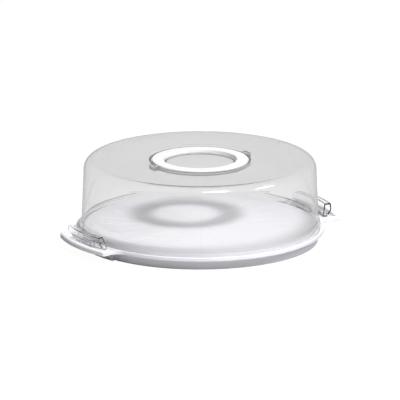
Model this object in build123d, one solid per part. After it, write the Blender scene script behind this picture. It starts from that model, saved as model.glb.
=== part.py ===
"""Cake carrier: a round tray with two carrying wings, a clear dome lid that tips open on
either wing's clip, and a ring handle in two halves that folds flat into the lid's top.

Frame: origin at the middle of the tray's foot, +Z up, +X through one wing, clip and
handle pivot. Every piece that lies on the +X side has its twin half a turn round Z.
Lengths are millimetres, angles degrees.
"""
from build123d import *
from math import atan2, cos, degrees, radians, sin, sqrt
import os

# ---------------------------------------------------------------- driving dimensions
# Tray: cake surface, lid groove, rim and the shell under them
CAKE_SURFACE_RADIUS = 155.0     # raised disc that the cake stands on
GROOVE_WIDTH = 7.5              # ring groove that the lid's edge drops into
RIM_WIDTH = 2.5                 # top of the rim, outside the groove
RIM_HEIGHT = 17.4               # rim top above the table
CAKE_SURFACE_RISE = 3.4         # cake surface above the rim top
GROOVE_DEPTH = 2.4              # groove floor below the rim top
RIM_FLANGE = 4.2                # rim, top to underside
TRAY_WALL = 2.2                 # moulded wall of the tray
FOOT_INSET = 8.0                # foot inside the rim's outer edge
FOOT_DRAFT = 0.8                # widening of the side wall from foot to rim
TRAY_EDGE = 0.8                 # rounding of the tray's turned edges

# Stiffening ribs under the cake surface
RIB_COUNT = 12
RIB_THICKNESS = 1.6
RIB_DEPTH = 5.0
RIB_RING_RADII = (48.0, 104.0)

# Portion marks in the cake surface
MARK_COUNT = 24
MARK_WIDTH = 0.9
MARK_DEPTH = 0.25
MARK_OUTER_RADIUS = 140.0
LONG_MARK_INNER_RADIUS = 5.0    # every second mark runs nearly to the middle
SHORT_MARK_INNER_RADIUS = 38.0

# Wings: the two shallow trays at the ends, which carry the clips and the hands
WING_REACH = 25.5               # beyond the rim
WING_HALF_ANGLE = 18.2
WING_CORNER = 4.5
WING_ROOT_FILLET = 15.0
WING_LIP_WIDTH = 4.4
WING_LIP_RISE = 2.6             # lip's crest above the rim top
WING_LIP_ROUND = 3.0            # rounding from the crest into the wing's side
WING_FLOOR = 2.0                # thickness

# Hollow box under each wing that ties it to the side wall
GUSSET_HALF_ANGLE = 14.2
GUSSET_FOOT_REACH = 5.0         # beyond the foot, at the table
GUSSET_FLARE = 11.5             # further out again under the wing

# Lid
LID_CLEARANCE = 2.0             # lid edge inside the rim
LID_WALL = 2.0
LID_HEIGHT = 95.2               # lid edge to lid top
BAND_HEIGHT = 8.8               # wider band at the lid's edge
BAND_STEP = 2.8                 # band outside the wall
LID_DRAFT = 3.2                 # wall leans in from band to top
SHOULDER_RADIUS = 13.5

# Ring handle, in two equal halves, and the dish in the lid that takes it
RING_RADIUS = 64.0
RING_WIDTH = 15.3
RING_THICKNESS = 4.6
RING_EDGE = 1.2
RING_SKIN = 1.9                 # walls of the hollow underside
RING_RIB = 1.6
RING_RIB_ANGLES = (-54.0, -18.0, 18.0, 54.0)
RING_PIVOT_OFFSET = 4.0         # each half's pivot to the lid's middle line
RING_END_GAP = 0.2              # end of a half to the middle line
RING_END_BLOCK = 6.0            # solid end round the pivot pin
DISH_MARGIN = 11.0              # dish edge outside the ring
DISH_DEPTH = 0.6                # of the shallow dish, where the channel starts
DISH_BLEND = 40.0               # rounding from the lid top into the dish
CHANNEL_DRAFT = 0.8             # widening of the channel from floor to dish
CHANNEL_MARGIN = 0.8            # floor of the channel outside and inside the ring
CHANNEL_CLEARANCE = 1.7         # under the ring
ISLAND_DROP = 3.4               # middle of the dish below the lid top

# Pivot pins, all cut from one rod
PIN_RADIUS = 1.25
RUNNING_CLEARANCE = 0.05        # pin in the bore that it turns in
PRESS_CLEARANCE = 0.01          # pin in the bore that holds it
PIN_CHAMFER = 0.3
HANDLE_LUG_GAP = 0.6            # ring to lug
HANDLE_LUG_LENGTH = 10.0
HANDLE_LUG_DROP = 0.3           # lug below the lid top
HANDLE_LUG_WALL = 2.0           # round the outermost bore
HANDLE_PIN_INSET = 1.5          # pin end inside the ring's inner edge
HANDLE_PIN_GRIP = 7.6           # pin inside the lug

# Hinge bead on the lid, one over each wing, seated in cradle ribs of the tray
BEAD_RADIUS = 1.6
BEAD_REACH = 5.5                # bead axis outside the lid's band
BEAD_HEIGHT = 2.2               # bead axis above the rim top
BEAD_LENGTH = 32.0
WEB_THICKNESS = 1.6             # web from the band to the bead
CRADLE_COUNT = 3
CRADLE_PITCH = 9.0
CRADLE_THICKNESS = 3.0
CRADLE_WALL = 0.75              # cradle beyond the bead
CRADLE_OUTER_DROP = 0.5         # outer side of a cradle below the bead's axis
CRADLE_CLEARANCE = 0.06

# Clips: clear hollow finger grips, each pinned to its wing, hooked over the bead
CLIP_HALF_ANGLE = 12.35         # at the top edge
CLIP_END_SLANT = 16.5           # ends splay outwards going down
CLIP_WALL = 1.7
CLIP_TOP = 16.6                 # top edge above the rim top
CLIP_FOOT = 0.2                 # lowest point below the rim top
CLIP_INNER_TOP = 9.2            # inner top edge outside the rim
CLIP_INNER_FOOT = 5.0           # inner bottom edge outside the rim
CLIP_OUTER_TOP = 18.4           # outer wall outside the rim
CLIP_OUTER_FOOT = 11.5          # outer bottom edge outside the rim
CLIP_BEND_HEIGHT = 8.0          # outer wall turns inwards this far above the rim top
CLIP_BEND_RADIUS = 6.0
CLIP_EDGE = 1.6                 # rounding outside
CLIP_HOLLOW_EDGE = 0.4          # rounding in the hollow
PIVOT_REACH = 7.6               # clip pivot outside the rim
PIVOT_HEIGHT = 1.8              # clip pivot above the rim top
KNUCKLE_RADIUS = 2.4
PIVOT_EAR_THICKNESS = 4.0
PIVOT_EAR_PITCH = 32.0
PIVOT_EAR_NARROWING = 0.4       # stem of an ear inside its round head
KNUCKLE_SPAN = 43.0
EAR_CLEARANCE = 0.4
TOE_LENGTH = 24.0
TOE_CLEARANCE = 0.25            # hook over bead
TOE_OVERLAP = 0.3               # hook's tip short of the bead's top
TOE_THICKNESS = 1.5

# ---------------------------------------------------------------- worked-out places
GROOVE_OUTER = CAKE_SURFACE_RADIUS + GROOVE_WIDTH
RIM_RADIUS = GROOVE_OUTER + RIM_WIDTH
CAKE_SURFACE_HEIGHT = RIM_HEIGHT + CAKE_SURFACE_RISE
SEAT_HEIGHT = RIM_HEIGHT - GROOVE_DEPTH
FLANGE_UNDERSIDE = RIM_HEIGHT - RIM_FLANGE
FOOT_RADIUS = RIM_RADIUS - FOOT_INSET
WALL_TOP_RADIUS = FOOT_RADIUS + FOOT_DRAFT
CAKE_SURFACE_UNDERSIDE = CAKE_SURFACE_HEIGHT - TRAY_WALL

WING_RADIUS = RIM_RADIUS + WING_REACH
WING_LIP_INNER = WING_RADIUS - WING_LIP_WIDTH
WING_LIP_HEIGHT = RIM_HEIGHT + WING_LIP_RISE
WING_FLOOR_HEIGHT = FLANGE_UNDERSIDE + WING_FLOOR

BAND_RADIUS = GROOVE_OUTER - LID_CLEARANCE
LID_TOP = SEAT_HEIGHT + LID_HEIGHT
BAND_TOP = SEAT_HEIGHT + BAND_HEIGHT
LID_WALL_RADIUS = BAND_RADIUS - BAND_STEP
LID_SHOULDER_RADIUS = LID_WALL_RADIUS - LID_DRAFT

RING_INNER_RADIUS = RING_RADIUS - RING_WIDTH
RING_UNDERSIDE = LID_TOP - RING_THICKNESS
RING_PIVOT_HEIGHT = LID_TOP - RING_THICKNESS / 2
RING_END_RADIUS = RING_PIVOT_OFFSET - RING_END_GAP
CHANNEL_FLOOR = RING_UNDERSIDE - CHANNEL_CLEARANCE
DISH_RADIUS = RING_RADIUS + DISH_MARGIN
ISLAND_HEIGHT = LID_TOP - ISLAND_DROP
HANDLE_LUG_INNER = RING_RADIUS + HANDLE_LUG_GAP
HANDLE_LUG_HALF_WIDTH = RING_PIVOT_OFFSET + PIN_RADIUS + HANDLE_LUG_WALL

BEAD_X = BAND_RADIUS + BEAD_REACH
BEAD_Z = RIM_HEIGHT + BEAD_HEIGHT
PIVOT_X = RIM_RADIUS + PIVOT_REACH
PIVOT_Z = RIM_HEIGHT + PIVOT_HEIGHT
CLIP_TOP_HEIGHT = RIM_HEIGHT + CLIP_TOP
CLIP_FOOT_HEIGHT = RIM_HEIGHT - CLIP_FOOT
CLIP_LEAN = (CLIP_INNER_TOP - CLIP_INNER_FOOT) / (CLIP_TOP + CLIP_FOOT)

WHOLE_TURN = 360.0
FAR = 2 * WING_RADIUS           # larger than the whole carrier
OVERRUN = 1.0                   # how far a cutter stands out of what it cuts


# ---------------------------------------------------------------- small helpers
def outline(corners):
    """Face in the XZ plane from (radius, height, rounding) corners."""
    points = [(radius, 0, height) for radius, height, _ in corners]
    return make_face(FilletPolyline(*points, radius=[c[2] for c in corners], close=True))


def sharp(points):
    """The same corners, all left sharp."""
    return [(radius, height, 0) for radius, height in points]


def turned(corners, arc=WHOLE_TURN):
    """Solid of revolution about Z, centred on +X when it is less than a whole turn."""
    return Rot(0, 0, -arc / 2) * revolve(outline(corners), Axis.Z, arc)


def extruded_along_y(corners, length):
    """Outline in the XZ plane carried along Y, centred on the middle plane."""
    return extrude(outline(corners), length / 2, both=True)


def rod_y(x, z, radius, length, y=0.0):
    """Round bar parallel to Y, centred at x, y, z."""
    return Pos(x, y, z) * Rot(90, 0, 0) * Cylinder(radius, length)


def rod_x(x_from, x_to, y, z, radius):
    """Round bar parallel to X."""
    return Pos((x_from + x_to) / 2, y, z) * Rot(0, 90, 0) * Cylinder(radius, x_to - x_from)


def block(x_from, x_to, y_from, y_to, z_from, z_to):
    """Box by its faces."""
    centre = Pos((x_from + x_to) / 2, (y_from + y_to) / 2, (z_from + z_to) / 2)
    return centre * Box(x_to - x_from, y_to - y_from, z_to - z_from)


def both_ends(piece):
    """A piece on the +X side and its twin half a turn round."""
    return piece + Rot(0, 0, 180) * piece


# ---------------------------------------------------------------- tray
def tray_shell():
    """Cake surface, groove floor and side wall, one turned shell open below."""
    wall_inner_foot = FOOT_RADIUS - TRAY_WALL
    wall_inner_top = WALL_TOP_RADIUS - TRAY_WALL
    riser_inner = CAKE_SURFACE_RADIUS - TRAY_WALL
    return turned([
        (0, CAKE_SURFACE_HEIGHT, 0),
        (CAKE_SURFACE_RADIUS, CAKE_SURFACE_HEIGHT, TRAY_EDGE),
        (CAKE_SURFACE_RADIUS, SEAT_HEIGHT, 0),
        (GROOVE_OUTER + OVERRUN, SEAT_HEIGHT, 0),
        (GROOVE_OUTER + OVERRUN, FLANGE_UNDERSIDE, 0),
        (WALL_TOP_RADIUS, FLANGE_UNDERSIDE, 0),
        (FOOT_RADIUS, 0, 0),
        (wall_inner_foot, 0, 0),
        (wall_inner_top, FLANGE_UNDERSIDE, 0),
        (riser_inner, FLANGE_UNDERSIDE, 0),
        (riser_inner, CAKE_SURFACE_UNDERSIDE, 0),
        (0, CAKE_SURFACE_UNDERSIDE, 0),
    ])


def tray_ribs():
    """Radial and ring ribs under the cake surface."""
    bottom = CAKE_SURFACE_UNDERSIDE - RIB_DEPTH
    top = CAKE_SURFACE_UNDERSIDE + TRAY_WALL / 2
    half = RIB_THICKNESS / 2
    ribs = [
        turned(sharp([(r - half, bottom), (r + half, bottom), (r + half, top), (r - half, top)]))
        for r in RIB_RING_RADII
    ]
    spoke = block(RIB_RING_RADII[0], CAKE_SURFACE_RADIUS - TRAY_WALL / 2, -half, half, bottom, top)
    ribs += [Rot(0, 0, i * WHOLE_TURN / RIB_COUNT) * spoke for i in range(RIB_COUNT)]
    return ribs


def plan_outline(inset=0.0):
    """Plan of the rim and both wings, drawn in all round by an inset."""
    half = radians(WING_HALF_ANGLE)
    rim, end = RIM_RADIUS - inset, WING_RADIUS - inset
    apex = inset / sin(half)
    side = sqrt(end ** 2 - inset ** 2) - apex * cos(half)
    tip = (apex + side * cos(half), side * sin(half))
    wing = make_face([
        Line((apex, 0), (tip[0], -tip[1])),
        ThreePointArc((tip[0], -tip[1]), (end, 0), tip),
        Line(tip, (apex, 0)),
    ])
    plan = Circle(rim) + wing + Rot(0, 0, 180) * wing
    outer = [v for v in plan.vertices() if sqrt(v.X ** 2 + v.Y ** 2) > (rim + end) / 2]
    plan = fillet(outer, max(WING_CORNER - inset, TRAY_EDGE))
    roots = [v for v in plan.vertices() if abs(sqrt(v.X ** 2 + v.Y ** 2) - rim) < OVERRUN / 10]
    return fillet(roots, WING_ROOT_FILLET + inset)


def rim_and_wings():
    """Rim flange and wing trays, with a rounded lip that climbs from the rim to the wing's end."""
    flange = Pos(0, 0, FLANGE_UNDERSIDE) * extrude(plan_outline(), WING_LIP_HEIGHT - FLANGE_UNDERSIDE)
    flange = fillet(flange.edges().group_by(Axis.Z)[-1], WING_LIP_ROUND)
    above = WING_LIP_HEIGHT + OVERRUN
    flange -= turned(sharp([
        (0, RIM_HEIGHT), (RIM_RADIUS + OVERRUN, RIM_HEIGHT), (WING_LIP_INNER, WING_LIP_HEIGHT),
        (WING_LIP_INNER, above), (0, above),
    ]))
    flange -= Pos(0, 0, FLANGE_UNDERSIDE) * Cylinder(
        GROOVE_OUTER, above, align=(Align.CENTER, Align.CENTER, Align.MIN))
    floors = plan_outline(WING_LIP_WIDTH) - Circle(RIM_RADIUS)
    flange -= Pos(0, 0, WING_FLOOR_HEIGHT) * extrude(floors, above - WING_FLOOR_HEIGHT)
    return flange


def gusset():
    """Flared hollow box under the +X wing, closed at both ends, open below."""
    arc = 2 * GUSSET_HALF_ANGLE
    foot = FOOT_RADIUS + GUSSET_FOOT_REACH
    top = foot + GUSSET_FLARE
    hollow_arc = arc - 2 * degrees(TRAY_WALL / FOOT_RADIUS)
    solid = turned(sharp([
        (FOOT_RADIUS - TRAY_WALL / 2, 0), (foot, 0), (top, FLANGE_UNDERSIDE),
        (WALL_TOP_RADIUS - TRAY_WALL / 2, FLANGE_UNDERSIDE),
    ]), arc)
    hollow = turned(sharp([
        (FOOT_RADIUS, 0), (foot - TRAY_WALL, 0), (top - TRAY_WALL, FLANGE_UNDERSIDE),
        (WALL_TOP_RADIUS, FLANGE_UNDERSIDE),
    ]), hollow_arc)
    return solid - hollow


def bead_cradle():
    """Ribs on the +X wing, against the rim, with a round seat for the lid's bead."""
    seat = BEAD_RADIUS + CRADLE_CLEARANCE
    under_web = BEAD_Z - WEB_THICKNESS / 2 - TOE_CLEARANCE
    outer_top = BEAD_Z - CRADLE_OUTER_DROP
    reach = BEAD_X + seat + CRADLE_WALL
    rib = extruded_along_y(sharp([
        (GROOVE_OUTER + RIM_WIDTH / 2, FLANGE_UNDERSIDE), (reach, FLANGE_UNDERSIDE),
        (reach, outer_top), (BEAD_X, outer_top), (BEAD_X, under_web),
        (GROOVE_OUTER + RIM_WIDTH / 2, under_web),
    ]), CRADLE_THICKNESS)
    rib -= rod_y(BEAD_X, BEAD_Z, seat, CRADLE_THICKNESS + OVERRUN)
    first = -(CRADLE_COUNT - 1) / 2 * CRADLE_PITCH
    return [Pos(0, first + i * CRADLE_PITCH, 0) * rib for i in range(CRADLE_COUNT)]


def pivot_ears():
    """Pair of ears on the +X wing's floor that hold the clip's pin."""
    stem = KNUCKLE_RADIUS - PIVOT_EAR_NARROWING
    ears = []
    for side in (-1, 1):
        middle = side * PIVOT_EAR_PITCH / 2
        ear = rod_y(PIVOT_X, PIVOT_Z, KNUCKLE_RADIUS, PIVOT_EAR_THICKNESS, middle)
        ear += block(PIVOT_X - stem, PIVOT_X + stem,
                     middle - PIVOT_EAR_THICKNESS / 2, middle + PIVOT_EAR_THICKNESS / 2,
                     WING_FLOOR_HEIGHT - WING_FLOOR / 2, PIVOT_Z)
        ears.append(ear - rod_y(PIVOT_X, PIVOT_Z, PIN_RADIUS + RUNNING_CLEARANCE,
                                PIVOT_EAR_THICKNESS + OVERRUN, middle))
    return ears


def portion_marks():
    """Fine radial V-grooves that divide the cake, long and short by turns."""
    top = CAKE_SURFACE_HEIGHT + OVERRUN
    half = MARK_WIDTH / 2 * (1 + OVERRUN / MARK_DEPTH)
    marks = []
    for i in range(MARK_COUNT):
        inner = SHORT_MARK_INNER_RADIUS if i % 2 else LONG_MARK_INNER_RADIUS
        bottom = (inner, 0, CAKE_SURFACE_HEIGHT - MARK_DEPTH)
        section = make_face(Polyline((inner, -half, top), bottom, (inner, half, top), close=True))
        mark = extrude(section, MARK_OUTER_RADIUS - inner, dir=(1, 0, 0))
        marks.append(Rot(0, 0, i * WHOLE_TURN / MARK_COUNT) * mark)
    return marks


def base_tray():
    """The whole white tray, one moulding."""
    tray = tray_shell() + rim_and_wings() + tray_ribs()
    fittings = [gusset()] + bead_cradle() + pivot_ears()
    for fitting in fittings:
        tray = tray + fitting + Rot(0, 0, 180) * fitting
    return tray - portion_marks()


# ---------------------------------------------------------------- lid
def lid_shell():
    """Dome of one even wall: band, wall, shoulder, top and the dish for the handle."""
    wall = LID_WALL
    channel_outer = RING_RADIUS + CHANNEL_MARGIN
    channel_inner = RING_INNER_RADIUS - CHANNEL_MARGIN
    dish_floor = LID_TOP - DISH_DEPTH
    shoulder_inner = SHOULDER_RADIUS - wall
    soft = wall / 2
    return turned([
        (BAND_RADIUS, SEAT_HEIGHT, soft / 2),
        (BAND_RADIUS, BAND_TOP, soft),
        (LID_WALL_RADIUS, BAND_TOP + soft, soft),
        (LID_SHOULDER_RADIUS, LID_TOP, SHOULDER_RADIUS),
        (DISH_RADIUS, LID_TOP, DISH_BLEND),
        (channel_outer + CHANNEL_DRAFT, dish_floor, soft),
        (channel_outer, CHANNEL_FLOOR, soft),
        (channel_inner, CHANNEL_FLOOR, soft),
        (channel_inner - soft, ISLAND_HEIGHT, soft),
        (0, ISLAND_HEIGHT, 0),
        (0, ISLAND_HEIGHT - wall, 0),
        (channel_inner - soft - wall, ISLAND_HEIGHT - wall, soft),
        (channel_inner - wall, CHANNEL_FLOOR - wall, soft),
        (channel_outer + wall, CHANNEL_FLOOR - wall, wall),
        (channel_outer + CHANNEL_DRAFT + wall, dish_floor - wall, soft / 2),
        (DISH_RADIUS, LID_TOP - wall, DISH_BLEND),
        (LID_SHOULDER_RADIUS - wall, LID_TOP - wall, shoulder_inner),
        (LID_WALL_RADIUS - wall, BAND_TOP + soft - wall, soft),
        (BAND_RADIUS - wall, BAND_TOP - wall, soft),
        (BAND_RADIUS - wall, SEAT_HEIGHT, soft / 2),
    ])


def handle_lug():
    """Block in the dish on +X with one blind bore for each half's pin."""
    lug = block(HANDLE_LUG_INNER, HANDLE_LUG_INNER + HANDLE_LUG_LENGTH,
                -HANDLE_LUG_HALF_WIDTH, HANDLE_LUG_HALF_WIDTH,
                CHANNEL_FLOOR - LID_WALL / 2, LID_TOP - HANDLE_LUG_DROP)
    return fillet(lug.edges().filter_by(Axis.Z), LID_WALL / 2)


def handle_lug_bores():
    """The bores of the +X lug."""
    return [
        rod_x(RING_RADIUS, HANDLE_LUG_INNER + HANDLE_PIN_GRIP + PIN_CHAMFER, side * RING_PIVOT_OFFSET,
              RING_PIVOT_HEIGHT, PIN_RADIUS + RUNNING_CLEARANCE)
        for side in (-1, 1)
    ]


def hinge_bead():
    """Round bead on the +X side, on a web that clears the rim."""
    inside_band = BAND_RADIUS - LID_WALL / 2
    root = sqrt(inside_band ** 2 - (BEAD_LENGTH / 2) ** 2)
    web = block(root, BEAD_X, -BEAD_LENGTH / 2, BEAD_LENGTH / 2,
                BEAD_Z - WEB_THICKNESS / 2, BEAD_Z + WEB_THICKNESS / 2)
    web -= Cylinder(inside_band, FAR)
    return web + rod_y(BEAD_X, BEAD_Z, BEAD_RADIUS, BEAD_LENGTH)


def lid_dome():
    """The whole clear lid, one moulding."""
    lid = lid_shell() + both_ends(handle_lug()) + both_ends(hinge_bead())
    for bore in handle_lug_bores():
        lid = lid - bore - Rot(0, 0, 180) * bore
    return lid


# ---------------------------------------------------------------- ring handle
def ring_hollow():
    """Channel moulded up into the ring's underside, interrupted by ribs."""
    top = LID_TOP - RING_SKIN
    below = RING_UNDERSIDE - OVERRUN
    inner = RING_INNER_RADIUS + RING_SKIN
    outer = RING_RADIUS - RING_SKIN
    hollow = turned(sharp([(inner, below), (outer, below), (outer, top), (inner, top)]))
    hollow &= block(-FAR, FAR, -FAR, -RING_PIVOT_OFFSET - RING_END_BLOCK, below, top)
    rib = block(-RING_RIB / 2, RING_RIB / 2, -RING_RADIUS, 0, below, top)
    for angle in RING_RIB_ANGLES:
        hollow -= Rot(0, 0, angle) * rib
    return hollow


def handle_half():
    """Half of the ring on the -Y side, with a round end at each pivot."""
    ring = turned([
        (RING_INNER_RADIUS, RING_UNDERSIDE, 0), (RING_RADIUS, RING_UNDERSIDE, 0),
        (RING_RADIUS, LID_TOP, RING_EDGE), (RING_INNER_RADIUS, LID_TOP, RING_EDGE),
    ])
    keep = block(-FAR, FAR, -FAR, -RING_PIVOT_OFFSET, RING_UNDERSIDE - OVERRUN, LID_TOP + OVERRUN)
    keep += rod_x(-FAR, FAR, -RING_PIVOT_OFFSET, RING_PIVOT_HEIGHT, RING_END_RADIUS)
    half = (ring & keep) - ring_hollow()
    return half - rod_x(-FAR, FAR, -RING_PIVOT_OFFSET, RING_PIVOT_HEIGHT, PIN_RADIUS + PRESS_CLEARANCE)


def handle_pin():
    """Pin of the -Y half at its +X end."""
    start = RING_INNER_RADIUS + HANDLE_PIN_INSET
    pin = rod_x(start, HANDLE_LUG_INNER + HANDLE_PIN_GRIP, -RING_PIVOT_OFFSET,
                RING_PIVOT_HEIGHT, PIN_RADIUS)
    return chamfer(pin.edges().filter_by(GeomType.CIRCLE), PIN_CHAMFER)


# ---------------------------------------------------------------- clips
def clip_corners(inset):
    """Section of the grip, drawn in by an even wall thickness."""
    inner_top = RIM_RADIUS + CLIP_INNER_TOP
    inner_foot = RIM_RADIUS + CLIP_INNER_FOOT
    top = CLIP_TOP_HEIGHT - inset
    wall = inset * sqrt(1 + CLIP_LEAN ** 2)
    outer = RIM_RADIUS + CLIP_OUTER_TOP - inset
    bend = RIM_HEIGHT + CLIP_BEND_HEIGHT
    slope = atan2(bend - CLIP_FOOT_HEIGHT, CLIP_OUTER_TOP - CLIP_OUTER_FOOT)
    edge = CLIP_EDGE if inset == 0 else CLIP_HOLLOW_EDGE
    corners = [
        (inner_top - CLIP_LEAN * inset + wall, top, edge),
        (outer, top, edge),
        (outer, bend + inset * (1 - sin(slope)) / cos(slope), max(CLIP_BEND_RADIUS - inset, edge)),
    ]
    if inset == 0:
        return corners + [(RIM_RADIUS + CLIP_OUTER_FOOT, CLIP_FOOT_HEIGHT, edge),
                          (inner_foot, CLIP_FOOT_HEIGHT, edge / 2)]
    floor = CLIP_FOOT_HEIGHT + inset
    outer_floor = RIM_RADIUS + CLIP_OUTER_FOOT - inset / sin(slope) \
        + (floor - CLIP_FOOT_HEIGHT) / (bend - CLIP_FOOT_HEIGHT) * (CLIP_OUTER_TOP - CLIP_OUTER_FOOT)
    return corners + [(outer_floor, floor, edge),
                      (inner_foot + CLIP_LEAN * (floor - CLIP_FOOT_HEIGHT) + wall, floor, edge)]


def clip_end_cutter():
    """Material beyond the slanted end of the grip on the +Y side."""
    edge_y = (RIM_RADIUS + CLIP_INNER_TOP) * sin(radians(CLIP_HALF_ANGLE))
    edge_x = (RIM_RADIUS + CLIP_INNER_TOP) * cos(radians(CLIP_HALF_ANGLE))
    beyond = Box(FAR, FAR, FAR, align=(Align.CENTER, Align.MIN, Align.CENTER))
    tilted = Rot(0, 0, CLIP_HALF_ANGLE) * Rot(CLIP_END_SLANT, 0, 0) * beyond
    return Pos(edge_x, edge_y, CLIP_TOP_HEIGHT) * tilted


def clip_grip():
    """Hollow grip, curved with the rim, open at both ends."""
    arc = 3 * CLIP_HALF_ANGLE       # longer than the grip, until its ends are cut
    grip = turned(clip_corners(0), arc) - turned(clip_corners(CLIP_WALL), arc + OVERRUN)
    cutter = clip_end_cutter()
    return grip - cutter - mirror(cutter, Plane.XZ)


def clip_toe():
    """Hook on the grip's inner side that closes over the lid's bead."""
    seat = BEAD_RADIUS + TOE_CLEARANCE
    tip = BEAD_X + TOE_OVERLAP
    tip_top = BEAD_Z + seat + TOE_THICKNESS
    root_top = tip_top + seat
    half_wall = CLIP_WALL / 2
    root_x = RIM_RADIUS + CLIP_INNER_FOOT + CLIP_LEAN * (root_top - CLIP_FOOT_HEIGHT) + half_wall
    toe = extruded_along_y(sharp([
        (tip, BEAD_Z), (tip, tip_top), (root_x, root_top), (PIVOT_X, root_top - KNUCKLE_RADIUS),
        (PIVOT_X, BEAD_Z - TOE_CLEARANCE), (BEAD_X + seat, BEAD_Z - TOE_CLEARANCE),
    ]), TOE_LENGTH)
    return toe - rod_y(BEAD_X, BEAD_Z, seat, TOE_LENGTH + OVERRUN)


def clip():
    """The whole clip on the +X wing, one moulding."""
    piece = clip_grip() + rod_y(PIVOT_X, PIVOT_Z, KNUCKLE_RADIUS, KNUCKLE_SPAN) + clip_toe()
    gap = PIVOT_EAR_THICKNESS + 2 * EAR_CLEARANCE
    clear_radius = KNUCKLE_RADIUS + EAR_CLEARANCE
    for side in (-1, 1):
        middle = side * PIVOT_EAR_PITCH / 2
        piece -= rod_y(PIVOT_X, PIVOT_Z, clear_radius, gap, middle)
        piece -= block(PIVOT_X - 2 * clear_radius, PIVOT_X + 2 * clear_radius,
                       middle - gap / 2, middle + gap / 2,
                       CLIP_FOOT_HEIGHT - OVERRUN, PIVOT_Z)
    return piece - rod_y(PIVOT_X, PIVOT_Z, PIN_RADIUS + PRESS_CLEARANCE, FAR)


def clip_pin():
    """Pin of the +X clip."""
    pin = rod_y(PIVOT_X, PIVOT_Z, PIN_RADIUS, KNUCKLE_SPAN)
    return chamfer(pin.edges().filter_by(GeomType.CIRCLE), PIN_CHAMFER)


# ---------------------------------------------------------------- the pieces
def all_pieces():
    """Every separate piece by name, each where it sits in the closed carrier."""
    half_turn = Rot(0, 0, 180)
    half, grip, grip_pin = handle_half(), clip(), clip_pin()
    half_pin = handle_pin()
    other_pin = mirror(half_pin, Plane.YZ)
    return {
        "base_tray": base_tray(),
        "lid_dome": lid_dome(),
        "handle_half_front": half,
        "handle_half_rear": half_turn * half,
        "handle_pin_front_right": half_pin,
        "handle_pin_front_left": other_pin,
        "handle_pin_rear_left": half_turn * half_pin,
        "handle_pin_rear_right": half_turn * other_pin,
        "clip_right": grip,
        "clip_left": half_turn * grip,
        "clip_pin_right": grip_pin,
        "clip_pin_left": half_turn * grip_pin,
    }


os.makedirs("parts", exist_ok=True)
for name, piece in all_pieces().items():
    export_step(piece, f"parts/{name}.step")
    box = piece.bounding_box()
    print(f"{name}: {len(piece.solids())} solid, {piece.volume:.0f} mm3, "
          f"{box.size.X:.1f} x {box.size.Y:.1f} x {box.size.Z:.1f} mm")
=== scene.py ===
# %% [markdown]
# # A clear cake carrier
#
# A cake carrier is a white tray under a clear dome. The tray and the ring handle are moulded in
# polypropylene, a slightly waxy white plastic. The dome and the two finger clips are moulded in clear
# styrene plastic, which is harder and polished like glass.
#
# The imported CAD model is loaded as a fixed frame. It says where each piece is and how it moves.
# Whatever is opaque keeps its CAD shape. The clear pieces are made again as smooth surfaces, because
# light that passes through a wall shows every flat of a mesh.

import bmesh
import bpy
import numpy as np
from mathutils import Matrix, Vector


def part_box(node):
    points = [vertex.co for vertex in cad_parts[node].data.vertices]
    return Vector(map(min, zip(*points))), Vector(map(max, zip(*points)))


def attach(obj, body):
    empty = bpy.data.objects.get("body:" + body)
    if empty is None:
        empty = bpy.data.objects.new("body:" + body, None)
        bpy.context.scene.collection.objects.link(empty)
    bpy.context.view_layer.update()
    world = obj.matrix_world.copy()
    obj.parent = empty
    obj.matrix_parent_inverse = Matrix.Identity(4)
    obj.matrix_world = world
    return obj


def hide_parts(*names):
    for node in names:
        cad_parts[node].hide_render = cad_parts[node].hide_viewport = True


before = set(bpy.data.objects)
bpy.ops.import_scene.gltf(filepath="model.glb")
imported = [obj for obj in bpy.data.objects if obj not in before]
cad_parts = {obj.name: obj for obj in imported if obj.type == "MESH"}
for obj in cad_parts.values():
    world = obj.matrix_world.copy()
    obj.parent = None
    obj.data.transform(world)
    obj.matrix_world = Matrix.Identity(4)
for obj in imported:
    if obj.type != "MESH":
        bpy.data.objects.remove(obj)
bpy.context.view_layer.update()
MM = 0.001

# %% [markdown]
# ## Small helpers
#
# Colours are written as the hex codes of a paint program. Those are sRGB, and the renderer works with
# linear light, so one function turns one into the other. A second one adds a shader node with its
# settings and its links in one call, which keeps each material to a few lines.


# %% Colours and shader nodes
def linear(code):
    """sRGB hex to linear: c / 12.92 near black, otherwise ((c + 0.055) / 1.055) to the power 2.4."""
    srgb = np.array([int(code[i:i + 2], 16) for i in (0, 2, 4)]) / 255
    light = np.where(srgb <= 0.04045, srgb / 12.92, ((srgb + 0.055) / 1.055) ** 2.4)
    return (*light.tolist(), 1.0)


def add(tree, kind, inputs=None, **settings):
    """Adds a node. Settings are its properties. Inputs take a value, or another node's output."""
    node = tree.nodes.new(kind)
    for name, value in settings.items():
        setattr(node, name, value)
    for socket, value in (inputs or {}).items():
        if isinstance(value, bpy.types.NodeSocket):
            tree.links.new(value, node.inputs[socket])
        else:
            node.inputs[socket].default_value = value
    return node


def new_material(name):
    """An empty material: its node tree and its output node."""
    material = bpy.data.materials.new(name)
    material.use_nodes = True
    material.node_tree.nodes.clear()
    return material, material.node_tree, add(material.node_tree, "ShaderNodeOutputMaterial")


# %% [markdown]
# ## Surfaces from numbers
#
# Most of this object is turned: one outline carried round the upright axis. An outline is a list of
# corners, each with a rounding. The arcs come from plane geometry: the arc that touches both runs of a
# corner starts at rounding / tan(half the corner's angle) from it, and its centre lies on the bisector
# at rounding / sin(half the angle). Each straight run also gets a point close to both ends, so that
# smooth shading bends only round the corners and the long runs stay flat.


# %% Outlines with rounded corners
ARC_POINTS = 9
RUN_INSET = 0.12                # share of a run between its end and the point that keeps it flat


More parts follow.
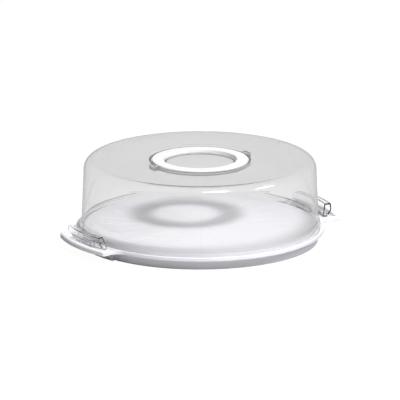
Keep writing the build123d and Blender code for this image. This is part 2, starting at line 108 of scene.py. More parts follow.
def outline(corners, closed=True):
    """Points (across, up) in mm round corners (across, up, rounding). Sharp corners give one point."""
    spots = np.array([c[:2] for c in corners], float)
    pieces = []
    for i, (_, _, rounding) in enumerate(corners):
        at, before, after = spots[i], spots[i - 1], spots[(i + 1) % len(spots)]
        if rounding == 0 or (not closed and i in (0, len(spots) - 1)):
            pieces.append(at[None])
            continue
        back, ahead = [(p - at) / np.linalg.norm(p - at) for p in (before, after)]
        half = np.arccos(np.clip(back @ ahead, -1, 1)) / 2
        middle = (back + ahead) / np.linalg.norm(back + ahead)
        centre = at + middle * rounding / np.sin(half)
        sweep = np.linspace(-1, 1, ARC_POINTS) * (np.pi / 2 - half)
        side = (ahead - back) / np.linalg.norm(ahead - back)
        arc = np.outer(np.sin(sweep), side) - np.outer(np.cos(sweep), middle)
        pieces.append(centre + rounding * arc)
    joined = []
    for here, following in zip(pieces, pieces[1:] + pieces[:1]):
        run = following[0] - here[-1]
        joined += [here, [here[-1] + run * RUN_INSET, following[0] - run * RUN_INSET]]
    points = np.vstack(joined)
    return points if closed else points[:-2]


# %% [markdown]
# A grid of points becomes a mesh with one quad between four neighbours. Where the grid closes on itself
# its last row is joined to its first, and points that fall together on the axis are merged into one
# pole. A closed shell whose faces look inwards has a negative volume, so its faces are turned round.


# %% Grids to meshes
SHARP = np.radians(32)          # edges that turn more than this stay crisp
SAME_POINT = 1e-7               # metres: points closer than this are one
NO_LENGTH = 1e-8                # metres: edges shorter than this are dropped
TURN_STEPS = 256                # points round a turned surface
CIRCLE_STEPS = 40
BORE_STEPS = 24


def in_scene(name, data):
    """A new object of a mesh, a light or a camera, linked to the scene."""
    thing = bpy.data.objects.new(name, data)
    bpy.context.scene.collection.objects.link(thing)
    return thing


def finished(name, mesh_data):
    """Object from a bmesh: points that coincide merged, faces outwards, smooth but for sharp edges."""
    bmesh.ops.remove_doubles(mesh_data, verts=mesh_data.verts, dist=SAME_POINT)
    bmesh.ops.dissolve_degenerate(mesh_data, edges=mesh_data.edges, dist=NO_LENGTH)
    if mesh_data.calc_volume(signed=True) < 0:
        bmesh.ops.reverse_faces(mesh_data, faces=mesh_data.faces)
    mesh = bpy.data.meshes.new(name)
    mesh_data.to_mesh(mesh)
    mesh_data.free()
    mesh.shade_smooth()
    mesh.set_sharp_from_angle(angle=SHARP)
    return in_scene(name, mesh)


def from_grid(name, points, wrap_rows=False, wrap_columns=True, caps=False):
    """Piece from points[row, column] in mm. Caps close the first and last row with one face each."""
    rows, columns = points.shape[:2]
    index = np.arange(rows * columns).reshape(rows, columns)
    if wrap_rows:
        index = np.vstack([index, index[:1]])
    if wrap_columns:
        index = np.hstack([index, index[:, :1]])
    quads = np.stack([index[:-1, :-1], index[1:, :-1], index[1:, 1:], index[:-1, 1:]], -1)
    faces = quads.reshape(-1, 4).tolist()
    if caps:
        around = np.arange(columns)
        faces += [around.tolist(), (around[::-1] + (rows - 1) * columns).tolist()]
    mesh = bpy.data.meshes.new(name)
    mesh.from_pydata((points.reshape(-1, 3) * MM).tolist(), [], faces)
    made = bmesh.new()
    made.from_mesh(mesh)
    bpy.data.meshes.remove(mesh)
    bmesh.ops.recalc_face_normals(made, faces=made.faces)
    return finished(name, made)


def turned(name, points):
    """Outline (across, up) carried round Z: x = across cos a, y = across sin a, z = up."""
    angle = np.linspace(0, 2 * np.pi, TURN_STEPS, endpoint=False)
    across, up = points[:, :1], points[:, 1:]
    return from_grid(name, np.stack([across * np.cos(angle), across * np.sin(angle),
                                     up + 0 * angle], -1))


def prism(name, points, start, stop, axis):
    """Closed outline carried straight along an axis, with flat ends.

    The outline's two columns are the other two axes in their order: (y, z), (x, z) or (x, y).
    """
    levels = np.array([start, stop])[:, None]
    sides = [points[:, 0] + 0 * levels, points[:, 1] + 0 * levels]
    sides.insert("XYZ".index(axis), levels + 0 * sides[0])
    return from_grid(name, np.stack(sides, -1), caps=True)


def circle(x, z, radius, steps=CIRCLE_STEPS):
    """Points of a circle: (x + radius cos a, z + radius sin a)."""
    angle = np.linspace(0, 2 * np.pi, steps, endpoint=False)
    return np.stack([x + radius * np.cos(angle), z + radius * np.sin(angle)], -1)


# %% [markdown]
# ## Joining solids
#
# Inside a clear solid, every leftover inner face shows. So what is one moulding has to be one mesh,
# and the lugs and hooks are joined with Blender's exact boolean, which keeps only the outer skin.


# %% Unions and cuts
def combined(piece, other, operation):
    """The piece with another one united to it or cut out of it. The other one is used up."""
    modifier = piece.modifiers.new("join", "BOOLEAN")
    modifier.operation, modifier.solver, modifier.object = operation, "EXACT", other
    bpy.context.view_layer.update()
    shaped = piece.evaluated_get(bpy.context.evaluated_depsgraph_get())
    mesh = bpy.data.meshes.new_from_object(shaped)
    piece.modifiers.clear()
    old = piece.data
    piece.data = mesh
    bpy.data.meshes.remove(old)
    bpy.data.objects.remove(other)
    mesh.name = piece.name
    mesh.shade_smooth()
    mesh.set_sharp_from_angle(angle=SHARP)
    return piece


def half_turned(piece, name):
    """A copy half a turn round Z: x and y change sign."""
    mesh = piece.data.copy()
    places = np.empty(len(mesh.vertices) * 3)
    mesh.vertices.foreach_get("co", places)
    mesh.vertices.foreach_set("co", (places.reshape(-1, 3) * (-1, -1, 1)).ravel())
    mesh.name = name
    return in_scene(name, mesh)


# %% [markdown]
# A finished piece gets its material, rides on its body of the frame and stands for a CAD node. Clear
# pieces are also hidden from diffuse rays, for the reason given with the clear plastic below.

# %% Dressing a piece
def placed(piece, body, material, node, clear=False):
    """Dresses a piece, sets it riding on its body and lets it stand for a CAD node."""
    piece.data.materials.clear()
    piece.data.materials.append(material)
    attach(piece, body)
    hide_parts(node)
    piece.visible_diffuse = not clear
    print(piece.name, len(piece.data.polygons), "faces")


# %% [markdown]
# ## Polypropylene
#
# Polypropylene is moulded white with a satin skin: the mould is finely blasted, so highlights spread
# wide, and a little light goes into the plastic and softens its shadows. The blasting is a fine bump
# of 0.15 mm grains. It is too fine to show at this distance, so a second, wider one of 6 mm is
# added, the faint unevenness of a moulded skin, which the eye reads as plastic rather than paint. The
# gloss is weak, because what a skin mirrors at a low angle would wash out the shadows on it.

# %% Satin white polypropylene
BLAST_GRAIN, GRAIN_HEIGHT, GRAIN_STRENGTH = 0.15 * MM, 0.02 * MM, 0.08
SKIN_WAVE, WAVE_HEIGHT, WAVE_STRENGTH = 6 * MM, 0.05 * MM, 0.15
SATIN_FROM, SATIN_TO = 0.34, 0.44       # roughness
SATIN_GLOSS = 0.1
POLYPROPYLENE_INDEX = 1.49
LIGHT_ENTERS, LIGHT_DEPTH = 0.08, 1.5 * MM


def polypropylene(name, colour):
    """Satin moulded white plastic with blasted grain and a faint wave in its skin."""
    material, tree, output = new_material(name)
    place = add(tree, "ShaderNodeTexCoord").outputs["Object"]
    grain = add(tree, "ShaderNodeTexNoise", {"Vector": place, "Scale": 1 / BLAST_GRAIN, "Detail": 1.0})
    wave = add(tree, "ShaderNodeTexNoise", {"Vector": place, "Scale": 1 / SKIN_WAVE, "Detail": 2.0})
    rough = add(tree, "ShaderNodeMapRange", {
        "Value": wave.outputs["Fac"], "To Min": SATIN_FROM, "To Max": SATIN_TO})
    fine = add(tree, "ShaderNodeBump", {
        "Height": grain.outputs["Fac"], "Strength": GRAIN_STRENGTH, "Distance": GRAIN_HEIGHT})
    skin = add(tree, "ShaderNodeBump", {
        "Height": wave.outputs["Fac"], "Strength": WAVE_STRENGTH, "Distance": WAVE_HEIGHT,
        "Normal": fine.outputs["Normal"]})
    plastic = add(tree, "ShaderNodeBsdfPrincipled", {
        "Base Color": linear(colour), "Roughness": rough.outputs["Result"],
        "IOR": POLYPROPYLENE_INDEX, "Normal": skin.outputs["Normal"],
        "Specular IOR Level": SATIN_GLOSS,
        "Subsurface Weight": LIGHT_ENTERS, "Subsurface Scale": LIGHT_DEPTH})
    tree.links.new(plastic.outputs["BSDF"], output.inputs["Surface"])
    return material


TRAY_WHITE = polypropylene("polypropylene_satin_moulded_tray", "F3F2F7")            # a cold white
# Painted shade: the handle is the same white plastic as the tray, but its white is set greyer so that, lit
# openly above the lid, it renders about as bright as the tray does under the lid.
HANDLE_SHADED_WHITE = polypropylene("polypropylene_satin_handle_painted_shade", "E2E2E2")        # a neutral one

# %% [markdown]
# ## Clear styrene
#
# A styrene plastic such as SAN is moulded in a polished tool: index of refraction 1.57, almost no
# roughness, a trace of grey. The grey lies in the plastic, so it is a Volume Absorption: the further
# light goes through the wall, the darker it gets, which draws the edges and corners. The clips bend
# light at many edges close together. They get a lower index, or those edges would run into one dark
# patch. Lamps couldn't find their way through two bent surfaces in a short render, so shadow rays see
# a plain clear sheet instead, and the cake surface under the lid is lit as it is on the real one. The
# clear pieces are hidden from diffuse rays, or the same light would come in twice, once blurred by
# the plastic.

# %% Polished clear styrene
WALL = 2 * MM
LID_PASSES = 0.885              # share of light that one wall of the lid lets through
CLIP_PASSES = 0.97              # the clips' plastic is clearer
LID_SHEET = 1.0                 # for lamps, at each of a wall's two surfaces
CLIP_SHEET = 0.90
SHEET_SLANT = 4.0               # power that keeps the sheet clear except near its outline
LID_INDEX, CLIP_INDEX = 1.57, 1.2
POLISHED = 0.02                 # roughness
FLOW_WAVE, FLOW_HEIGHT, FLOW_STRENGTH = 40 * MM, 0.1 * MM, 0.1      # left by the flow in the mould


def styrene(name, passes, sheet_passes, index):
    """Polished clear plastic, tinted by its depth: what passes falls as exp(-density depth).

    Lamps pass the sheet: share = sheet_passes less (how slanted it is) to the power SHEET_SLANT.
    """
    material, tree, output = new_material(name)
    place = add(tree, "ShaderNodeTexCoord").outputs["Object"]
    flow = add(tree, "ShaderNodeTexNoise", {"Vector": place, "Scale": 1 / FLOW_WAVE, "Detail": 1.0})
    wave = add(tree, "ShaderNodeBump", {
        "Height": flow.outputs["Fac"], "Strength": FLOW_STRENGTH, "Distance": FLOW_HEIGHT})
    clear = add(tree, "ShaderNodeBsdfPrincipled", {
        "Base Color": (1, 1, 1, 1), "Roughness": POLISHED, "IOR": index,
        "Transmission Weight": 1.0, "Normal": wave.outputs["Normal"]})
    slant = add(tree, "ShaderNodeLayerWeight", {"Blend": 0.5}).outputs["Facing"]
    mirrored = add(tree, "ShaderNodeMath", {0: slant, 1: SHEET_SLANT}, operation="POWER")
    passed = add(tree, "ShaderNodeMath", {0: sheet_passes, 1: mirrored.outputs[0]},
                 operation="SUBTRACT", use_clamp=True)
    sheet = add(tree, "ShaderNodeBsdfTransparent", {"Color": passed.outputs[0]})
    ray = add(tree, "ShaderNodeLightPath").outputs["Is Shadow Ray"]
    mixed = add(tree, "ShaderNodeMixShader", {0: ray, 1: clear.outputs[0], 2: sheet.outputs[0]})
    depth = add(tree, "ShaderNodeVolumeAbsorption", {
        "Color": (0, 0, 0, 1), "Density": -np.log(passes) / WALL})
    tree.links.new(mixed.outputs[0], output.inputs["Surface"])
    tree.links.new(depth.outputs[0], output.inputs["Volume"])
    return material


CLEAR_LID = styrene("styrene_polished_clear_lid", LID_PASSES, LID_SHEET, LID_INDEX)
CLEAR_CLIP = styrene("styrene_polished_clear_clip", CLIP_PASSES, CLIP_SHEET, CLIP_INDEX)

# %% [markdown]
# ## Steel pins
#
# The pins are cut from drawn stainless rod. Drawing leaves fine lines along the rod, so the noise that
# drives the roughness is stretched along the pins' length.

# %% Drawn stainless steel
DRAW_LINE = 0.2 * MM            # across the rod
LINE_STRETCH = 0.02             # the lines are drawn out to 1 / this along the rod
DRAWN_FROM, DRAWN_TO = 0.18, 0.34       # roughness


def drawn_steel(name, stretch):
    """Bright drawn rod, with lines along the axis whose stretch is small."""
    material, tree, output = new_material(name)
    place = add(tree, "ShaderNodeTexCoord").outputs["Object"]
    along = add(tree, "ShaderNodeMapping", {"Vector": place, "Scale": stretch})
    lines = add(tree, "ShaderNodeTexNoise", {"Vector": along.outputs[0], "Scale": 1 / DRAW_LINE})
    rough = add(tree, "ShaderNodeMapRange", {
        "Value": lines.outputs["Fac"], "To Min": DRAWN_FROM, "To Max": DRAWN_TO})
    steel = add(tree, "ShaderNodeBsdfPrincipled", {
        "Base Color": linear("C9C9CB"), "Metallic": 1.0, "Roughness": rough.outputs["Result"]})
    tree.links.new(steel.outputs["BSDF"], output.inputs["Surface"])
    return material


STEEL_ALONG_X = drawn_steel("stainless_drawn_along_x", (LINE_STRETCH, 1, 1))
STEEL_ALONG_Y = drawn_steel("stainless_drawn_along_y", (1, LINE_STRETCH, 1))

# %% [markdown]
# ## The lid
#
# The lid is one turned shell of an even 2 mm wall: a wider band at its edge, the wall, a rounded
# shoulder, the flat top, and a dish that takes the ring handle. Its height and radius come from the
# frame, and the rest follows the mould's own dimensions.

# %% Lid shell
lid_low, lid_high = (np.array(corner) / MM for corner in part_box("lid_dome"))
SEAT, LID_TOP, BAND_RADIUS = lid_low[2], lid_high[2], lid_high[1]
LID_WALL = 2.0
BAND_HEIGHT, BAND_STEP = 8.8, 2.8
STEP_RISE = 4.5                 # the band widens out of the wall over this height
WALL_LEAN = 3.2                 # from band to shoulder
SHOULDER = 13.5
DISH_RADIUS, DISH_DEPTH, DISH_BLEND = 75.0, 0.6, 40.0
CHANNEL_OUTER, CHANNEL_INNER, CHANNEL_DEPTH = 64.8, 47.9, 6.3
CHANNEL_DRAFT = 0.8
ISLAND_DROP = 3.4               # middle of the dish below the lid's top

BAND_TOP = SEAT + BAND_HEIGHT
WALL_RADIUS = BAND_RADIUS - BAND_STEP
SHOULDER_AT = WALL_RADIUS - WALL_LEAN
CHANNEL_FLOOR = LID_TOP - CHANNEL_DEPTH
ISLAND = LID_TOP - ISLAND_DROP
SOFT = LID_WALL / 2

lid_outline = outline([
    (0, ISLAND, 0),
    (CHANNEL_INNER - SOFT, ISLAND, SOFT),
    (CHANNEL_INNER, CHANNEL_FLOOR, SOFT),
    (CHANNEL_OUTER, CHANNEL_FLOOR, SOFT),
    (CHANNEL_OUTER + CHANNEL_DRAFT, LID_TOP - DISH_DEPTH, SOFT),
    (DISH_RADIUS, LID_TOP, DISH_BLEND),
    (SHOULDER_AT, LID_TOP, SHOULDER),
    (WALL_RADIUS, BAND_TOP + STEP_RISE, LID_WALL),
    (BAND_RADIUS, BAND_TOP - SOFT, LID_WALL),
    (BAND_RADIUS, SEAT, SOFT / 2),
    (BAND_RADIUS - LID_WALL, SEAT, SOFT / 2),
    (BAND_RADIUS - LID_WALL, BAND_TOP - SOFT - LID_WALL / 2, LID_WALL),
    (WALL_RADIUS - LID_WALL, BAND_TOP + STEP_RISE - LID_WALL / 2, LID_WALL),
    (SHOULDER_AT - LID_WALL, LID_TOP - LID_WALL, SHOULDER - LID_WALL),
    (DISH_RADIUS, LID_TOP - LID_WALL, DISH_BLEND),
    (CHANNEL_OUTER + CHANNEL_DRAFT + LID_WALL, LID_TOP - DISH_DEPTH - LID_WALL, SOFT / 2),
    (CHANNEL_OUTER + LID_WALL, CHANNEL_FLOOR - LID_WALL, LID_WALL),
    (CHANNEL_INNER - LID_WALL, CHANNEL_FLOOR - LID_WALL, SOFT),
    (CHANNEL_INNER - SOFT - LID_WALL, ISLAND - LID_WALL, SOFT),
    (0, ISLAND - LID_WALL, 0),
], closed=False)
lid = turned("lid", lid_outline)

# %% [markdown]
# Two lugs stand in the dish, one at each side of the ring, with a blind bore for each half's pin. Over
# each wing the lid's band carries a round bead on a short web, the bar that the clip hooks over.

# %% Lugs and hinge beads
LUG_FROM, LUG_LENGTH, LUG_HALF_WIDTH, LUG_DROP = 64.6, 10.0, 7.25, 0.3
PIVOT_OFFSET = 4.0              # each half ring's pin to the middle line
PIVOT_HEIGHT = LID_TOP - 2.3    # half the ring's thickness down
BORE, BORE_END = 1.3, 72.5
PAST = 1.0                      # cutters reach this far past the face that they cut
BEAD_RADIUS, BEAD_HALF, BEAD_Z = 1.6, 16.0, 19.6
BEAD_X = lid_high[0] - BEAD_RADIUS
WEB = 1.6

lug_plan = outline([
    (LUG_FROM, -LUG_HALF_WIDTH, SOFT), (LUG_FROM + LUG_LENGTH, -LUG_HALF_WIDTH, SOFT),
    (LUG_FROM + LUG_LENGTH, LUG_HALF_WIDTH, SOFT), (LUG_FROM, LUG_HALF_WIDTH, SOFT)])
web_root = np.sqrt((BAND_RADIUS - SOFT) ** 2 - BEAD_HALF ** 2)
neck = np.array([[web_root, -WEB / 2], [BEAD_X, -WEB / 2], [BEAD_X, WEB / 2], [web_root, WEB / 2]])
for end in (1, -1):
    lug = prism("lug", end * lug_plan, CHANNEL_FLOOR - SOFT, LID_TOP - LUG_DROP, "Z")
    lid = combined(lid, lug, "UNION")
    for side in (-1, 1):
        ring = circle(side * PIVOT_OFFSET, PIVOT_HEIGHT, BORE, BORE_STEPS)
        bore = prism("bore", ring, end * (LUG_FROM - PAST), end * BORE_END, "X")
        lid = combined(lid, bore, "DIFFERENCE")
    web = prism("web", neck * (end, 1) + (0, BEAD_Z), -BEAD_HALF, BEAD_HALF, "Y")
    lid = combined(lid, web, "UNION")
    bead = prism("bead", circle(end * BEAD_X, BEAD_Z, BEAD_RADIUS), -BEAD_HALF, BEAD_HALF, "Y")
    lid = combined(lid, bead, "UNION")
placed(lid, "lid", CLEAR_LID, "lid_dome", clear=True)

# %% [markdown]
# ## The clips
#
# Each clip is a hollow finger grip, curved with the rim and open at both ends. Its wall is a loop: along
# the outside, round the end, back along the hollow and round the other end. So the whole skin is one
# grid, closed both ways like a ring doughnut: one direction goes round the section, the other goes
# along the outside and back through the hollow. The ends lean outwards going down, so the
# angle where the grip ends grows with the depth below its top edge.

# %% Grip surface
RIM_TOP, RIM_RADIUS = 17.4, 165.0
CLIP_TOP, CLIP_FOOT = RIM_TOP + 16.6, RIM_TOP - 0.2
HALF_ANGLE, END_SLANT = np.radians(12.35), np.radians(16.5)
GRIP_WALL = 1.7
GRIP_EDGE, HOLLOW_EDGE = 1.6, 0.4       # roundings outside and in the hollow
INNER_FOOT, INNER_TOP = RIM_RADIUS + 5.0, RIM_RADIUS + 9.2
OUTER_FOOT, OUTER_TOP = RIM_RADIUS + 11.5, RIM_RADIUS + 18.4
BEND, BEND_RADIUS = RIM_TOP + 8.0, 6.0  # where the outer wall turns inwards
LEAN = (INNER_TOP - INNER_FOOT) / (CLIP_TOP - CLIP_FOOT)
END_ROUND = 0.6                         # rounding of the wall's edge at both ends
ALONG_POINTS, END_POINTS = 49, 5


def grip_section(inset):
    """Five corners of the grip's section, or of its hollow when drawn in by the wall."""
    edge = GRIP_EDGE if inset == 0 else HOLLOW_EDGE
    wall = inset * np.sqrt(1 + LEAN ** 2)
    slope = np.arctan2(BEND - CLIP_FOOT, OUTER_TOP - OUTER_FOOT)
    floor = CLIP_FOOT + inset
    drop = (floor - CLIP_FOOT) / (BEND - CLIP_FOOT)
    return outline([
        (INNER_TOP - LEAN * inset + wall, CLIP_TOP - inset, edge),
        (OUTER_TOP - inset, CLIP_TOP - inset, edge),
        (OUTER_TOP - inset, BEND + inset * (1 - np.sin(slope)) / np.cos(slope), BEND_RADIUS - inset),
        (OUTER_FOOT + drop * (OUTER_TOP - OUTER_FOOT) - inset / np.sin(slope), floor, edge),
        (INNER_FOOT + LEAN * (floor - CLIP_FOOT) + wall, floor, edge / 2),
    ])


def grip_points():
    """Grid (loop, section). Along half the loop:

    share = how far from the outside to the hollow, from 0 to 1;
    back_off = END_ROUND (1 - sin turn), how far the wall's rounded edge draws back from the end;
    travel = -1 to 1 from one end to the other, times the end's angle at that height.
    """
    outer, inner = grip_section(0), grip_section(GRIP_WALL)
    turn = np.linspace(0, np.pi / 2, END_POINTS)
    share = np.concatenate([np.zeros(ALONG_POINTS), (1 - np.cos(turn)) * END_ROUND / GRIP_WALL,
                            1 - (1 - np.cos(turn[::-1])) * END_ROUND / GRIP_WALL])
    back_off = np.concatenate([np.zeros(ALONG_POINTS), END_ROUND * (1 - np.sin(turn)),
                               END_ROUND * (1 - np.sin(turn[::-1]))])
    travel = np.concatenate([np.linspace(-1, 1, ALONG_POINTS), np.ones(2 * END_POINTS)])
    back_off[[0, ALONG_POINTS - 1]] = END_ROUND
    share = np.concatenate([share, 1 - share])[:, None]
    travel = np.concatenate([travel, -travel])[:, None]
    back_off = np.concatenate([back_off, back_off])[:, None]
    section = outer[None] * (1 - share[..., None]) + inner[None] * share[..., None]
    radius, height = section[..., 0], section[..., 1]
    splay = np.arcsin(np.tan(END_SLANT) * (CLIP_TOP - height) / radius)
    angle = travel * (HALF_ANGLE + splay - back_off / radius)
    return np.stack([radius * np.cos(angle), radius * np.sin(angle), height], -1)


grip = from_grid("clip_right_grip", grip_points(), wrap_rows=True)

# %% [markdown]
# The hook and the knuckle belong to the same moulding. The hook closes over the lid's bead with a
# quarter of a millimetre to spare, and the knuckle has two gaps for the tray's ears and a bore for the pin.

# %% Hook, knuckle and bore
HOOK_SPARE, HOOK_WALL, HOOK_HALF = 0.25, 1.5, 12.0
HOOK_TIP = 0.3                  # the hook's tip stops this far short of the bead's crest
PIVOT_X, PIVOT_Z = RIM_RADIUS + 7.6, RIM_TOP + 1.8
KNUCKLE, KNUCKLE_SPAN, PIN_BORE = 2.4, 43.0, 1.27
EAR_PITCH, EAR_GAP = 32.0, 4.8
EAR_GAP_TOP, EAR_GAP_ROUND = 2.8, 1.2   # half width over the pivot, and height above it
EAR_GAP_FOOT, EAR_GAP_BELOW = 5.0, 2.0  # half width under the clip, and depth below it

hook_seat = BEAD_RADIUS + HOOK_SPARE
hook_top = BEAD_Z + hook_seat + HOOK_WALL
root_top = hook_top + hook_seat
root_x = INNER_FOOT + LEAN * (root_top - CLIP_FOOT) + GRIP_WALL / 2
hook = prism("hook", np.array([
    (BEAD_X + HOOK_TIP, BEAD_Z), (BEAD_X + HOOK_TIP, hook_top), (root_x, root_top),
    (PIVOT_X, root_top - KNUCKLE), (PIVOT_X, BEAD_Z - HOOK_SPARE),
    (BEAD_X + hook_seat, BEAD_Z - HOOK_SPARE)]), -HOOK_HALF, HOOK_HALF, "Y")
seat = prism("seat", circle(BEAD_X, BEAD_Z, hook_seat), -HOOK_HALF - PAST, HOOK_HALF + PAST, "Y")
hook = combined(hook, seat, "DIFFERENCE")
knuckle = prism("knuckle", circle(PIVOT_X, PIVOT_Z, KNUCKLE), -KNUCKLE_SPAN / 2, KNUCKLE_SPAN / 2, "Y")
clip = combined(grip, knuckle, "UNION")
clip = combined(clip, hook, "UNION")
ear_outline = outline([
    (PIVOT_X - EAR_GAP_FOOT, CLIP_FOOT - EAR_GAP_BELOW, 0),
    (PIVOT_X + EAR_GAP_FOOT, CLIP_FOOT - EAR_GAP_BELOW, 0),
    (PIVOT_X + EAR_GAP_TOP, PIVOT_Z + EAR_GAP_TOP, EAR_GAP_ROUND),
    (PIVOT_X - EAR_GAP_TOP, PIVOT_Z + EAR_GAP_TOP, EAR_GAP_ROUND)])
for side in (-1, 1):
    middle = side * EAR_PITCH / 2
    ear_gap = prism("ear_gap", ear_outline, middle - EAR_GAP / 2, middle + EAR_GAP / 2, "Y")
    clip = combined(clip, ear_gap, "DIFFERENCE")
pin_bore = prism("pin_bore", circle(PIVOT_X, PIVOT_Z, PIN_BORE, BORE_STEPS),
                 -KNUCKLE_SPAN, KNUCKLE_SPAN, "Y")
clip = combined(clip, pin_bore, "DIFFERENCE")
clip.name = "clip_right_moulding"
twin_clip = half_turned(clip, "clip_left_moulding")
placed(clip, "clip_right", CLEAR_CLIP, "clip_right", clear=True)
placed(twin_clip, "clip_left", CLEAR_CLIP, "clip_left", clear=True)

# %% [markdown]
# ## Tray and handle
#
# Their CAD shapes are already right, but their meshes are loose triangles, and long thin triangles on
# a flat face pick up streaks of shade from the roundings at its edge. So each gets a merged copy: the
# triangles of a flat face become one face, and the edge of every large flat face is marked sharp, which
# keeps its shading even. The portion marks are shallow grooves whose sides lean by 29 degrees, so an
# edge is already crisp here from 20 degrees on, or their shade would run out over the cake surface.

# %% Merged copies
FLAT = np.radians(0.2)
CREASE = np.radians(20)
LARGE_FACE = 25.0 * MM ** 2
TRIANGLE_OR_QUAD = 4            # corners: a flat that was merged from triangles has more


def merged_copy(node, name):
    """The CAD node's shape as a new piece: points merged, flats dissolved, borders of flats sharp."""
    made = bmesh.new()
    made.from_mesh(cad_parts[node].data)
    bmesh.ops.remove_doubles(made, verts=made.verts, dist=SAME_POINT)
    bmesh.ops.dissolve_limit(made, angle_limit=FLAT, verts=made.verts, edges=made.edges)
    made.verts.index_update()
    points = [vertex.co[:] for vertex in made.verts]
    faces = [[vertex.index for vertex in face.verts] for face in made.faces]
    made.free()
    mesh = bpy.data.meshes.new(name)
    mesh.from_pydata(points, [], faces)
    mesh.shade_smooth()
    mesh.set_sharp_from_angle(angle=CREASE)
    borders = {key for face in mesh.polygons
               if face.area > LARGE_FACE and len(face.vertices) > TRIANGLE_OR_QUAD
               for key in face.edge_keys}
    for edge in mesh.edges:
        if edge.key in borders:
            edge.use_edge_sharp = True
    return in_scene(name, mesh)


for node, name, body, slot, material in (
        ("base_tray", "tray_moulding", "base", "tray_polypropylene", TRAY_WHITE),
        ("handle_half_front", "handle_front_moulding", "handle_front", "handle_polypropylene",
         HANDLE_SHADED_WHITE),
        ("handle_half_rear", "handle_rear_moulding", "handle_rear", "handle_polypropylene",
         HANDLE_SHADED_WHITE)):
    placed(merged_copy(node, name), body, material, node)

# %% [markdown]
# The pins keep their CAD meshes and only get their material.

# %% Dress the pins
for node, material in {
    "handle_pin_front_right": STEEL_ALONG_X, "handle_pin_front_left": STEEL_ALONG_X,
    "handle_pin_rear_right": STEEL_ALONG_X, "handle_pin_rear_left": STEEL_ALONG_X,
    "clip_pin_right": STEEL_ALONG_Y, "clip_pin_left": STEEL_ALONG_Y,
}.items():
    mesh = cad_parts[node].data
    mesh.materials.clear()
    mesh.materials.append(material)

# %% [markdown]
# ## Studio
#
# The floor is plain white paper. What a ray finds there depends on the kind of ray. To the camera, and
# through clear plastic, the floor glows just under white and the lamps fill in the rest, so the tray
# keeps a faint shadow. In a shiny skin the floor is greyer, like the dark card that a photographer
# sets beside glass to draw its edges. Diffuse light from it is weaker still, so that the tray's side
# stays in shade.

# %% Paper floor
CONTACT_SHADOW = 0.12           # how much of the floor's look comes from the lamps
FLOOR_GLOW = 1 - CONTACT_SHADOW / 3     # just under white: the lamps' share makes up the rest
FLOOR_RETURN = 0.44             # light that the floor sends back up to the carrier
MIRRORED = 0.50                 # the floor as shiny skins mirror it
FLOOR_REACH = 60.0              # metres


def seen_directly(tree):
    """1 for what the camera sees, also by way of clear or shiny surfaces, but not by diffuse light."""
    path = add(tree, "ShaderNodeLightPath")
    seen = path.outputs["Is Camera Ray"]
    for kind in ("Is Glossy Ray", "Is Transmission Ray"):
        seen = add(tree, "ShaderNodeMath", {0: seen, 1: path.outputs[kind]},
                   operation="MAXIMUM").outputs[0]
    no_diffuse = add(tree, "ShaderNodeMath", {0: path.outputs["Diffuse Depth"], 1: 0.5},
                     operation="LESS_THAN").outputs[0]
    return add(tree, "ShaderNodeMath", {0: seen, 1: no_diffuse}, operation="MULTIPLY").outputs[0]


def in_a_mirror(tree):
    """1 for rays that a shiny skin turned back, 0 for those that went straight on or were bent."""
    path = add(tree, "ShaderNodeLightPath").outputs
    return add(tree, "ShaderNodeMath", {0: path["Is Glossy Ray"], 1: path["Is Transmission Ray"]},
               operation="SUBTRACT", use_clamp=True).outputs[0]


floor_mesh = bpy.data.meshes.new("floor")
corners = [(-1, -1, 0), (1, -1, 0), (1, 1, 0), (-1, 1, 0)]
floor_mesh.from_pydata((FLOOR_REACH * np.array(corners)).tolist(), [], [(0, 1, 2, 3)])
floor = in_scene("floor", floor_mesh)
paper, tree, output = new_material("studio_paper_floor")
seen = seen_directly(tree)
dim = add(tree, "ShaderNodeBsdfDiffuse", {"Color": (FLOOR_RETURN,) * 3 + (1,)})
lit = add(tree, "ShaderNodeBsdfDiffuse", {"Color": (CONTACT_SHADOW,) * 3 + (1,)})
level = add(tree, "ShaderNodeMapRange", {
    "Value": in_a_mirror(tree), "To Min": FLOOR_GLOW, "To Max": MIRRORED})
glow = add(tree, "ShaderNodeEmission", {"Color": (1, 1, 1, 1), "Strength": level.outputs["Result"]})
white = add(tree, "ShaderNodeAddShader", {0: lit.outputs[0], 1: glow.outputs[0]})
both = add(tree, "ShaderNodeMixShader", {0: seen, 1: dim.outputs[0], 2: white.outputs[0]})
tree.links.new(both.outputs[0], output.inputs["Surface"])
floor_mesh.materials.append(paper)

# %% [markdown]
# The world is a soft grey room behind a white backdrop. The backdrop ends a few degrees above the
# horizon and fades into the room, which is what the clear top of the lid shows and mirrors.

# %% Grey room
ROOM = 0.15                     # light that the room sends to the carrier
SKY = 0.66                      # the room as the clear plastic shows it, above the white backdrop
BACKDROP_FADES, BACKDROP_ENDS = np.sin(np.radians([4, 14])).tolist()    # sines of degrees up

world = bpy.data.worlds.new("grey_room")
bpy.context.scene.world = world
world.use_nodes = True
tree = world.node_tree
tree.nodes.clear()
heading = add(tree, "ShaderNodeTexCoord").outputs["Generated"]
height = add(tree, "ShaderNodeSeparateXYZ", {0: heading}).outputs["Z"]
backdrop = add(tree, "ShaderNodeMapRange", {
    "Value": height, "From Min": BACKDROP_FADES, "From Max": BACKDROP_ENDS,
    "To Min": 1.0, "To Max": SKY})
behind = add(tree, "ShaderNodeMix", {0: in_a_mirror(tree), 2: backdrop.outputs["Result"], 3: SKY})
level = add(tree, "ShaderNodeMix", {0: seen_directly(tree), 2: ROOM, 3: behind.outputs[0]})
room = add(tree, "ShaderNodeBackground", {"Color": (1, 1, 1, 1), "Strength": level.outputs[0]})
tree.links.new(room.outputs[0], add(tree, "ShaderNodeOutputWorld").inputs["Surface"])

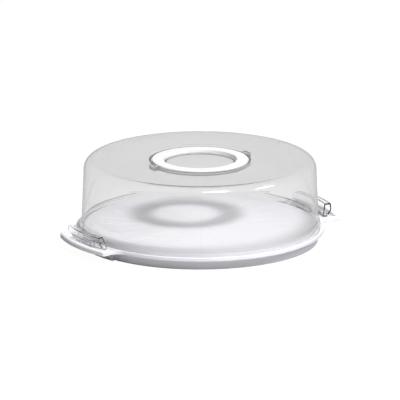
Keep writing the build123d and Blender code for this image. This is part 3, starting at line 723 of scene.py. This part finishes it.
# %% [markdown]
# A lamp's direction is given the way a photographer would: how far round from the camera it stands and
# how high. Its power follows from how bright it should make white paper: power = pi squared times
# distance squared times that brightness.
#
# A high key lamp throws the handle's round shadow on the cake surface, and a lower one at the right
# opens up that side. Both are broad, and shiny skins don't mirror them, or their large images would
# cover the lid's shoulder. Two weak, narrow strips stand beside them to be mirrored, and draw the two
# streaks there. The camera stands far off behind a long lens, so that parallel edges stay parallel.

# %% Lamps and camera
CAMERA_AZIMUTH, CAMERA_ELEVATION = -30.0, 15.0
CAMERA_DISTANCE = 24.0          # metres
FRAME_WIDTH = 0.532             # metres across the picture, at the carrier's middle
SENSOR_WIDTH = 36.0             # millimetres, as lenses are measured
TARGET = Vector((0, 0, 0.0532))
LAMP_DISTANCE = 1.6


def towards(azimuth, elevation):
    """Unit vector from the carrier: azimuth 0 is the front and grows to the right."""
    a, e = np.radians([azimuth, elevation])
    return Vector((np.sin(a) * np.cos(e), -np.cos(a) * np.cos(e), np.sin(e)))


def aim(thing, azimuth, elevation, distance):
    """Stands a lamp or camera in that direction at that distance, looking at the carrier."""
    direction = towards(azimuth, elevation)
    thing.location = TARGET + direction * distance
    thing.rotation_euler = (-direction).to_track_quat("-Z", "Y").to_euler()


def lamp(name, from_camera, elevation, width, height, brightness, mirrored):
    """Soft oval lamp that makes white paper that bright."""
    light = bpy.data.lights.new(name, "AREA")
    light.shape, light.size, light.size_y = "ELLIPSE", width, height
    light.energy = float(np.pi ** 2 * LAMP_DISTANCE ** 2 * brightness)
    holder = in_scene(name, light)
    holder.visible_glossy = mirrored
    aim(holder, CAMERA_AZIMUTH + from_camera, elevation, LAMP_DISTANCE)


lamp("key_lamp", 19.4, 57.8, width=0.56, height=0.50, brightness=1.15, mirrored=False)
lamp("side_lamp", 76, 40, width=0.60, height=0.40, brightness=0.30, mirrored=False)
lamp("front_strip", 30, 56, width=0.42, height=0.14, brightness=0.035, mirrored=True)
lamp("side_strip", 98, 52, width=0.42, height=0.16, brightness=0.012, mirrored=True)

camera = bpy.data.cameras.new("camera")
camera.sensor_width = SENSOR_WIDTH
camera.lens = SENSOR_WIDTH * CAMERA_DISTANCE / FRAME_WIDTH
camera.clip_end = 2 * CAMERA_DISTANCE
eye = in_scene("camera", camera)
aim(eye, CAMERA_AZIMUTH, CAMERA_ELEVATION, CAMERA_DISTANCE)
bpy.context.scene.camera = eye
bpy.context.scene.view_settings.view_transform = "Standard"
